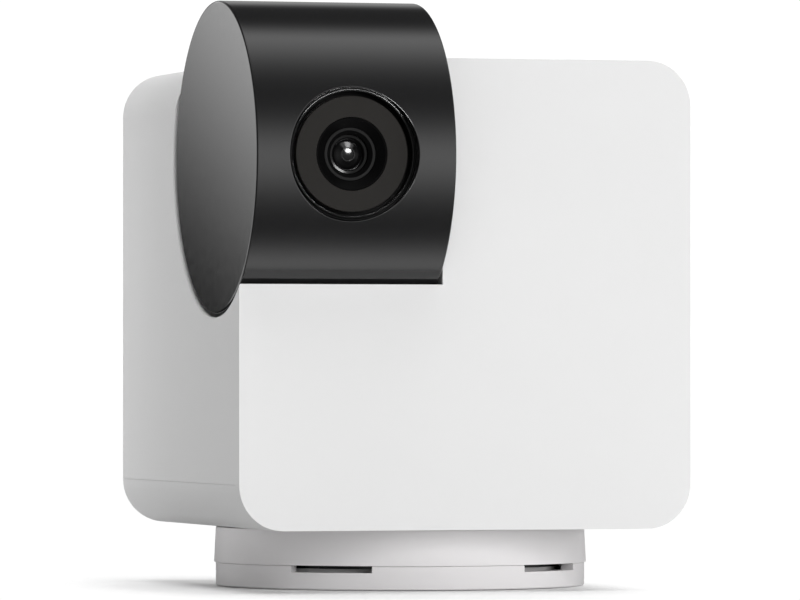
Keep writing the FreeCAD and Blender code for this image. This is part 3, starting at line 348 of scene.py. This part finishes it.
def turned_skin(corners, centre, along, segments):
    """A closed outline turned about an axis; distances run along it from the centre."""
    skin = Skin()
    axis = Vector(along)
    side = Vector((0, 0, 1))
    up = axis.cross(side)
    middle = Vector(centre)
    profile = rounded_profile(corners)
    ways = [side * math.cos(a) + up * math.sin(a)
            for a in (2 * math.pi * k / segments for k in range(segments))]
    rings = []
    for spot, _, _ in profile:
        if spot.x < ON_AXIS:
            rings.append([skin.point(middle + axis * spot.y)] * segments)
        else:
            rings.append([skin.point(middle + axis * spot.y + way * spot.x) for way in ways])
    for index, (spot, _, out) in enumerate(profile):
        following = (index + 1) % len(profile)
        next_spot, into, _ = profile[following]
        on_axis = spot.x < ON_AXIS and next_spot.x < ON_AXIS
        if on_axis or (spot - next_spot).length < SAME_SPOT:
            continue
        for k in range(segments):
            j = (k + 1) % segments
            face_corners, normals = [], []
            for ring, flat, at in ((rings[index], out, k), (rings[index], out, j),
                                   (rings[following], into, j), (rings[following], into, k)):
                if ring[at] in face_corners:
                    continue
                face_corners.append(ring[at])
                normals.append(ways[at] * flat.x + axis * flat.y)
            if len(face_corners) > 2:
                skin.face(face_corners, normals)
    return skin


def turn_piece(name, slot, replaced, corners, centre=LENS_POINT, along=FRONT, segments=192):
    """Turns an outline into a piece of the drum that takes the place of a node."""
    turned_skin(corners, centre, along, segments).finish(name, slot, "drum", replaced)


def make_drum_rings():
    """The drum's flat outer disc and the rings of the lens, turned with eased edges."""
    lip_end, lip_inner = CAP_SEAT + 1.2, DRUM_BORE - 1.5
    turn_piece("drum_disc", "black_gloss", "drum_side_cap", [
        (0, DRUM_LEFT), (DRUM_RADIUS, DRUM_LEFT, DISC_ROUND), (DRUM_RADIUS, CAP_SEAT),
        (DRUM_BORE - GAP, CAP_SEAT), (DRUM_BORE - GAP, lip_end), (lip_inner, lip_end),
        (lip_inner, CAP_SEAT), (0, CAP_SEAT),
    ], TILT_POINT, RIGHT, 256)

    bore, wall, bead, lip = 7.75, LENS_HOLE - 0.03, LENS_HOLE - 0.24, LENS_HOLE - 0.6
    ledge, crest = WINDOW_FRONT + 0.05, WINDOW_FRONT + 0.3
    groove_inner, groove_floor, bezel_back = WINDOW_OUTER + 0.15, WINDOW_BACK - 0.6, WINDOW_BACK - 1.4
    turn_piece("bezel_ring", "black_satin", "lens_bezel", [
        (bore, bezel_back), (wall, bezel_back), (wall, ledge, 0.05), (bead, ledge),
        (bead, crest, 0.17), (lip, crest, 0.03), (lip, groove_floor), (groove_inner, groove_floor),
        (groove_inner, WINDOW_BACK - GAP), (bore, WINDOW_BACK - GAP),
    ])

    turn_piece("window_ring", "window_black", "ir_window", [
        (WINDOW_INNER, WINDOW_BACK), (WINDOW_OUTER, WINDOW_BACK), (WINDOW_OUTER, WINDOW_FRONT, 0.12),
        (WINDOW_INNER, WINDOW_FRONT, 0.05),
    ])

    flange, flange_back = 5.6, WINDOW_BACK - 0.9
    turn_piece("funnel", "black_satin", "lens_cone", [
        (BARREL_TIP + GAP, flange_back), (flange, flange_back), (flange, WINDOW_BACK - GAP),
        (WINDOW_INNER - GAP, WINDOW_BACK - GAP), (WINDOW_INNER - GAP, WINDOW_FRONT - GAP, 0.06),
        (WINDOW_INNER - 0.2, WINDOW_FRONT - GAP, 0.06), (BARREL_TIP + GAP, WINDOW_BACK),
    ])

    turn_piece("lens_tube", "black_satin", "lens_barrel", [
        (APERTURE, BARREL_BACK), (BARREL_BODY, BARREL_BACK), (BARREL_BODY, BARREL_SHOULDER),
        (BARREL_TIP, BARREL_SHOULDER), (BARREL_TIP, WINDOW_BACK, 0.12), (3.3, WINDOW_BACK, 0.1),
        (GLASS_RADIUS + GAP, WINDOW_BACK - 0.35, 0.1), (GLASS_RADIUS + GAP, GLASS_BACK),
        (APERTURE, GLASS_BACK),
    ])

    turn_piece("keeper_ring", "black_satin", "lens_retaining_ring", [
        (APERTURE, GLASS_SEAT), (GLASS_RADIUS, GLASS_SEAT), (GLASS_RADIUS, GLASS_SEAT + 0.6, 0.03),
        (2.34, GLASS_SEAT + 0.5, 0.03), (APERTURE, GLASS_SEAT + 0.38, 0.03),
    ])

    # a low dome with a step about its middle, whose edges show as thin rings
    turn_piece("front_glass", "lens_glass", "lens_glass", [
        (0, GLASS_BACK), (GLASS_RADIUS, GLASS_BACK), (GLASS_RADIUS, GLASS_SEAT - GAP),
        (2.1, GLASS_SEAT - GAP), (1.78, GLASS_SEAT + 0.13, 3.9), (1.45, GLASS_SEAT + 0.247),
        (0.97, GLASS_SEAT + 0.44), (0.87, GLASS_SEAT + 0.44), (0.84, GLASS_SEAT + 0.317),
        (0.424, GLASS_SEAT + 0.4, 4.1), (0, GLASS_SEAT + 0.4),
    ])


# --- the drum's tube ---
# Its grid leaves a square open about the lens hole, and rays run from the square's border to the hole.
SQUARE_HALF = 11.0
SQUARE_CELLS = 40
SQUARE_FIRST, SQUARE_LAST = 1, 1 + SQUARE_CELLS
RAY_STEPS, RIM_STEPS, END_STEPS = 6, 8, 4


def tube_spot(x, angle, radius):
    """A place about the tilt axis. The angle is 0 in front and grows upwards."""
    return (x, TILT_BACK - radius * math.cos(angle), TILT_UP + radius * math.sin(angle))


def tube_normal(angle, sign=1):
    return Vector((0, -math.cos(angle), math.sin(angle))) * sign


def to_lens_axis(bearing):
    return Vector((-math.cos(bearing), 0, -math.sin(bearing)))


class DrumTube(Skin):
    """Black tube with a rounded lens hole and a rounded right end."""

    def __init__(self):
        super().__init__()
        spread = math.asin(SQUARE_HALF / DRUM_RADIUS)
        around = 2 * math.pi - 2 * spread
        rest = round(around / (2 * spread / SQUARE_CELLS))
        self.angles = [-spread + 2 * spread * k / SQUARE_CELLS for k in range(SQUARE_CELLS + 1)]
        self.angles += [spread + around * k / rest for k in range(1, rest)]
        self.lines = [CAP_SEAT]
        self.lines += [LENS_ACROSS - SQUARE_HALF + 2 * SQUARE_HALF * k / SQUARE_CELLS
                       for k in range(SQUARE_CELLS + 1)]
        self.lines += [DRUM_RIGHT - 2.0, DRUM_RIGHT - END_ROUND]

    def grid(self, radius, sign):
        """The grid of one radius; leaves the square open and returns its points."""
        grid = {}
        for i, x in enumerate(self.lines):
            for j, angle in enumerate(self.angles):
                if not (SQUARE_FIRST < i < SQUARE_LAST and 0 < j < SQUARE_CELLS):
                    grid[i, j] = self.point(tube_spot(x, angle, radius))
        for i in range(len(self.lines) - 1):
            for j, angle in enumerate(self.angles):
                if SQUARE_FIRST <= i < SQUARE_LAST and j < SQUARE_CELLS:
                    continue
                k = (j + 1) % len(self.angles)
                near, far = tube_normal(angle, sign), tube_normal(self.angles[k], sign)
                self.face([grid[i, j], grid[i + 1, j], grid[i + 1, k], grid[i, k]],
                          [near, near, far, far])
        return grid

    def rays(self, grid, radius, sign, hole):
        """Rays from the square's border to the hole; returns the hole's loop and their bearings."""
        cells = range(SQUARE_CELLS)
        border = [(SQUARE_FIRST + k, 0) for k in cells] + [(SQUARE_LAST, k) for k in cells]
        border += [(SQUARE_LAST - k, SQUARE_CELLS) for k in cells]
        border += [(SQUARE_FIRST, SQUARE_CELLS - k) for k in cells]
        loop, ends = [], []
        for key in border:
            place = self.points[grid[key]]
            dx, dz = place.x - LENS_ACROSS, place.z - TILT_UP
            loop.append((grid[key], tube_normal(math.asin(dz / radius), sign)))
            ends.append((math.atan2(dz, dx), math.hypot(dx, dz)))
        rows = [loop]
        for step in range(1, RAY_STEPS + 1):
            row = []
            for bearing, reach in ends:
                here = reach + (hole - reach) * step / RAY_STEPS
                x = LENS_ACROSS + here * math.cos(bearing)
                angle = math.asin(here * math.sin(bearing) / radius)
                row.append((self.point(tube_spot(x, angle, radius)), tube_normal(angle, sign)))
            rows.append(row)
        self.stitch(rows)
        return rows[-1], [bearing for bearing, _ in ends]

    def rim(self, outer, inner, bearings):
        """The rounded edge of the hole and the wall from it to the hole's inner loop."""
        rows = [outer]
        for step in range(1, RIM_STEPS + 1):
            turn = math.pi / 2 * step / RIM_STEPS
            reach = LENS_HOLE + HOLE_ROUND * (1 - math.sin(turn))
            sunk = Vector((0, HOLE_ROUND * (1 - math.cos(turn)), 0))
            row = []
            for bearing in bearings:
                angle = math.asin(reach * math.sin(bearing) / DRUM_RADIUS)
                x = LENS_ACROSS + reach * math.cos(bearing)
                normal = tube_normal(angle) * math.cos(turn) + to_lens_axis(bearing) * math.sin(turn)
                place = Vector(tube_spot(x, angle, DRUM_RADIUS)) + sunk
                row.append((self.point(place), normal.normalized()))
            rows.append(row)
        self.stitch(rows)
        self.stitch([[(index, to_lens_axis(bearing)) for (index, _), bearing in zip(loop, bearings)]
                     for loop in (rows[-1], inner)])

    def left_end(self, outside, inside):
        """A flat ring, which the disc covers."""
        way = Vector((-1, 0, 0))
        turns = range(len(self.angles))
        self.stitch([[(grid[0, j], way) for j in turns] for grid in (outside, inside)])

    def right_end(self, outside, inside):
        """A rounded outer edge, a flat ring, and the last of the bore."""
        way = Vector((1, 0, 0))
        last = len(self.lines) - 1
        rows = [[(outside[last, j], tube_normal(a)) for j, a in enumerate(self.angles)]]
        for step in range(1, END_STEPS + 1):
            turn = math.pi / 2 * step / END_STEPS
            x = self.lines[last] + END_ROUND * math.sin(turn)
            radius = DRUM_RADIUS - END_ROUND * (1 - math.cos(turn))
            rows.append([(self.point(tube_spot(x, a, radius)),
                          tube_normal(a) * math.cos(turn) + way * math.sin(turn)) for a in self.angles])
        self.stitch(rows)
        edge = [self.point(tube_spot(DRUM_RIGHT, a, DRUM_BORE)) for a in self.angles]
        self.stitch([[(index, way) for index, _ in rows[-1]], [(index, way) for index in edge]])
        self.stitch([[(index, tube_normal(a, -1)) for index, a in zip(edge, self.angles)],
                     [(inside[last, j], tube_normal(a, -1)) for j, a in enumerate(self.angles)]])


def make_drum_tube():
    tube = DrumTube()
    outside = tube.grid(DRUM_RADIUS, 1)
    inside = tube.grid(DRUM_BORE, -1)
    outer, bearings = tube.rays(outside, DRUM_RADIUS, 1, LENS_HOLE + HOLE_ROUND)
    inner, _ = tube.rays(inside, DRUM_BORE, -1, LENS_HOLE)
    tube.rim(outer, inner, bearings)
    tube.left_end(outside, inside)
    tube.right_end(outside, inside)
    tube.finish("drum_tube", "black_gloss", "drum", "drum_shell")


# --- floor ---
FLOOR_REACH = 6.0
# Near this middle the floor takes the shadow, and beyond the far distance it is evenly white.
STAGE_MIDDLE = (-0.010, 0, 0)
STAGE_STRETCH = (1, 0.5, 1)
STAGE_NEAR, STAGE_FAR = 0.028, 0.043
# The floor's colour to the object and to the camera, and the glow of its white part.
FLOOR_BOUNCE, FLOOR_SHOWN, FLOOR_WHITE = 0.8, 1.06, 1.02


def make_floor():
    """A plain floor that takes the soft shadow near the object and is evenly white beyond it."""
    mesh = bpy.data.meshes.new("floor")
    corners = [(x * FLOOR_REACH, y * FLOOR_REACH, 0) for x, y in ((-1, -1), (1, -1), (1, 1), (-1, 1))]
    mesh.from_pydata(corners, [], [(0, 1, 2, 3)])
    floor = bpy.data.objects.new("floor", mesh)
    bpy.context.scene.collection.objects.link(floor)
    material = bpy.data.materials.new("floor")
    material.use_nodes = True
    tree = Tree(material.node_tree)
    seen = tree.add("ShaderNodeLightPath").outputs["Is Camera Ray"]
    where = tree.add("ShaderNodeTexCoord").outputs["Object"]
    far = tree.smooth(tree.distance(where, STAGE_MIDDLE, STAGE_STRETCH), STAGE_NEAR, STAGE_FAR)
    color = tree.mix(seen, opaque(FLOOR_BOUNCE), opaque(FLOOR_SHOWN))
    lit = tree.add("ShaderNodeBsdfDiffuse", Color=color)
    white = tree.add("ShaderNodeEmission", Color=opaque(1.0), Strength=FLOOR_WHITE)
    shader = tree.add("ShaderNodeMixShader", i0=tree.math("MULTIPLY", seen, far),
                      i1=lit.outputs[0], i2=white.outputs[0])
    tree.add("ShaderNodeOutputMaterial", Surface=shader.outputs[0])
    mesh.materials.append(material)
    floor.visible_glossy = False


# --- what the shiny surfaces see ---
# Soft boxes, each a band across the studio. Angles are in degrees about the X axis: 0 is straight
# ahead of the front, 90 overhead, -90 underneath, 180 behind. Each box has its middle, how softly it
# ends below and above, and its brightness.
BOXES = {
    "front": (0.0, 28.0, 23.0, 1.75),
    "top": (95.0, 25.5, 12.5, 1.65),
    "low": (-86.0, 9.0, 18.5, 1.36),
    "back": (158.0, 9.5, 26.0, 0.42),
}
# The boxes fade out to the left, between these values of a direction's x.
BOX_DARK, BOX_LIT = -0.75, -0.35
BOX_GLOOM = 0.05
# A large panel behind on the left, which the drum's flat disc sees at a grazing angle. It brightens
# with the rise and the turn in degrees, from a start and up to a full level, inside its limits of x,
# y and z.
PANEL_RISE, PANEL_TURN, PANEL_START, PANEL_FULL = 0.37, 0.512, 7.65, 1.2
PANEL_RIGHT, PANEL_FRONT, PANEL_TOP = -0.1, 0.3, 0.3
# What dull surfaces and the camera see instead.
AMBIENT, BACKDROP = 0.0, 1.05


def make_world():
    """A studio for the shiny surfaces alone; dull ones are lit by the lights."""
    world = bpy.data.worlds.new("studio")
    bpy.context.scene.world = world
    world.use_nodes = True
    tree = Tree(world.node_tree)
    direction = tree.add("ShaderNodeTexCoord").outputs["Generated"]
    x, y, z = tree.add("ShaderNodeSeparateXYZ", i0=direction).outputs
    degrees = 180 / math.pi
    around = tree.math("ARCTAN2", z, tree.math("MULTIPLY", y, -1.0))
    angle = tree.math("MULTIPLY", around, degrees)
    total = 0.0
    for middle, below, above, brightness in BOXES.values():
        off = tree.math("SUBTRACT", angle, middle)
        under = tree.math("DIVIDE", tree.math("MINIMUM", off, 0.0), below)
        over = tree.math("DIVIDE", tree.math("MAXIMUM", off, 0.0), above)
        both = tree.math("ADD", tree.math("MULTIPLY", under, under), tree.math("MULTIPLY", over, over))
        glow = tree.math("EXPONENT", tree.math("MULTIPLY", both, -1.0))
        total = tree.math("MULTIPLY_ADD", glow, brightness, total)
    away = tree.smooth(x, BOX_DARK, BOX_LIT)
    total = tree.math("ADD", tree.math("MULTIPLY", total, away), BOX_GLOOM)

    rise = tree.math("MULTIPLY", tree.math("ARCSINE", z), degrees * PANEL_RISE)
    turn = tree.math("MULTIPLY", tree.math("ARCTAN2", x, y), -degrees * PANEL_TURN)
    climb = tree.math("SUBTRACT", tree.math("ADD", rise, turn), PANEL_START)
    level = tree.math("MINIMUM", tree.math("MAXIMUM", climb, 0.0), PANEL_FULL)
    panel = tree.math("MULTIPLY", level, level)
    on_left = tree.math("LESS_THAN", x, PANEL_RIGHT)
    behind = tree.math("GREATER_THAN", y, PANEL_FRONT)
    low_down = tree.math("LESS_THAN", z, PANEL_TOP)
    side = tree.math("MULTIPLY", tree.math("MULTIPLY", on_left, behind), low_down)
    rest = tree.math("MULTIPLY", total, tree.math("SUBTRACT", 1.0, side))
    brightness = tree.math("ADD", tree.math("MULTIPLY", panel, side), rest)

    path = tree.add("ShaderNodeLightPath").outputs
    shiny = tree.add("ShaderNodeBackground", Color=opaque(1.0), Strength=brightness)
    soft = tree.add("ShaderNodeBackground", Color=opaque(1.0), Strength=AMBIENT)
    seen = tree.add("ShaderNodeBackground", Color=opaque(1.0), Strength=BACKDROP)
    lit = tree.add("ShaderNodeMixShader", i0=path["Is Glossy Ray"],
                   i1=soft.outputs[0], i2=shiny.outputs[0])
    mixed = tree.add("ShaderNodeMixShader", i0=path["Is Camera Ray"],
                     i1=lit.outputs[0], i2=seen.outputs[0])
    tree.add("ShaderNodeOutputWorld", Surface=mixed.outputs[0])


# --- lights ---
# Soft boxes about the object: where each stands, its width and height, and its power.
LIT_MIDDLE = (0.0, 0.0, 0.04)
SOFT_BOXES = {
    "front_box": ((0.35, -1.6, 0.35), 1.2, 0.9, 17.8),
    "top_box": ((0.0, -0.1, 1.4), 1.2, 1.2, 14.5),
    "right_box": ((1.3, -0.6, 0.25), 0.8, 0.5, 3.9),
    "left_box": ((-1.3, 0.1, 0.35), 0.8, 0.6, 1.4),
    "back_box": ((0.2, 1.4, 0.6), 1.0, 0.8, 15.2),
}
# A narrow strip beside the cube's left rear edge: where it stands and what it faces, then the same.
EDGE_STRIP = ((-0.055, 0.036, 0.05), (-0.030, 0.020, 0.05), 0.012, 0.09, 0.00265)
# Round soft boxes that one piece alone mirrors, for the highlights of the lens: the piece, the
# bearing and rise from the lens in degrees, the width and height that a box 1 m off would have, the
# radiance, and the real distance.
CATCH_LIGHTS = {
    "rim_left": ("drum_tube", -23.0, -7.5, 0.42, 0.24, 34.0, 0.15),
    "bezel_right": ("bezel_ring", 47.0, 23.0, 0.62, 0.62, 600.0, 1.0),
    "bezel_top": ("bezel_ring", -2.0, 34.0, 0.9, 0.4, 450.0, 1.0),
    "keeper_light": ("keeper_ring", 35.0, 24.0, 0.35, 0.3, 300.0, 1.0),
    "glint": ("front_glass", 17.0, 15.5, 0.38, 0.30, 170.0, 1.0),
    "halo": ("front_glass", 21.0, 43.0, 0.36, 0.34, 34.0, 1.0),
    "halo_wide": ("front_glass", 21.0, 42.0, 1.0, 0.40, 6.0, 1.0),
}


def area_light(name, at, towards, width, height, power):
    """A soft box that lights but isn't mirrored in the shiny drum."""
    data = bpy.data.lights.new(name, "AREA")
    data.shape = "RECTANGLE"
    data.size = width
    data.size_y = height
    data.energy = power
    light = bpy.data.objects.new(name, data)
    light.location = at
    light.rotation_euler = (Vector(towards) - Vector(at)).to_track_quat("-Z", "Y").to_euler()
    light.visible_glossy = False
    light.visible_camera = False
    bpy.context.scene.collection.objects.link(light)
    return light


def catch_light(name, piece, bearing, rise, width, height, radiance, distance):
    """A round soft box that only one piece mirrors."""
    lens = Vector(LENS_POINT) * MM
    bearing, rise = math.radians(bearing), math.radians(rise)
    level = math.cos(rise)
    way = Vector((math.sin(bearing) * level, -math.cos(bearing) * level, math.sin(rise)))
    width, height = width * distance, height * distance
    power = radiance * width * height * math.pi ** 2 / 4
    light = area_light(name, lens + way * distance, lens, width, height, power)
    light.data.shape = "ELLIPSE"
    light.visible_glossy = True
    light.visible_diffuse = False
    lit = bpy.data.collections.new(name)
    lit.objects.link(pieces[piece])
    light.light_linking.receiver_collection = lit


def make_lights():
    for name, (at, width, height, power) in SOFT_BOXES.items():
        area_light(name, at, LIT_MIDDLE, width, height, power)
    for name, values in CATCH_LIGHTS.items():
        catch_light(name, *values)
    area_light("edge_strip", *EDGE_STRIP)


make_camera()
dress_nodes()
make_drum_tube()
make_drum_rings()
make_floor()
make_world()
make_lights()

settings = bpy.context.scene.view_settings
settings.view_transform = "Standard"
settings.look = "None"
settings.exposure = 0.0
settings.gamma = 1.0
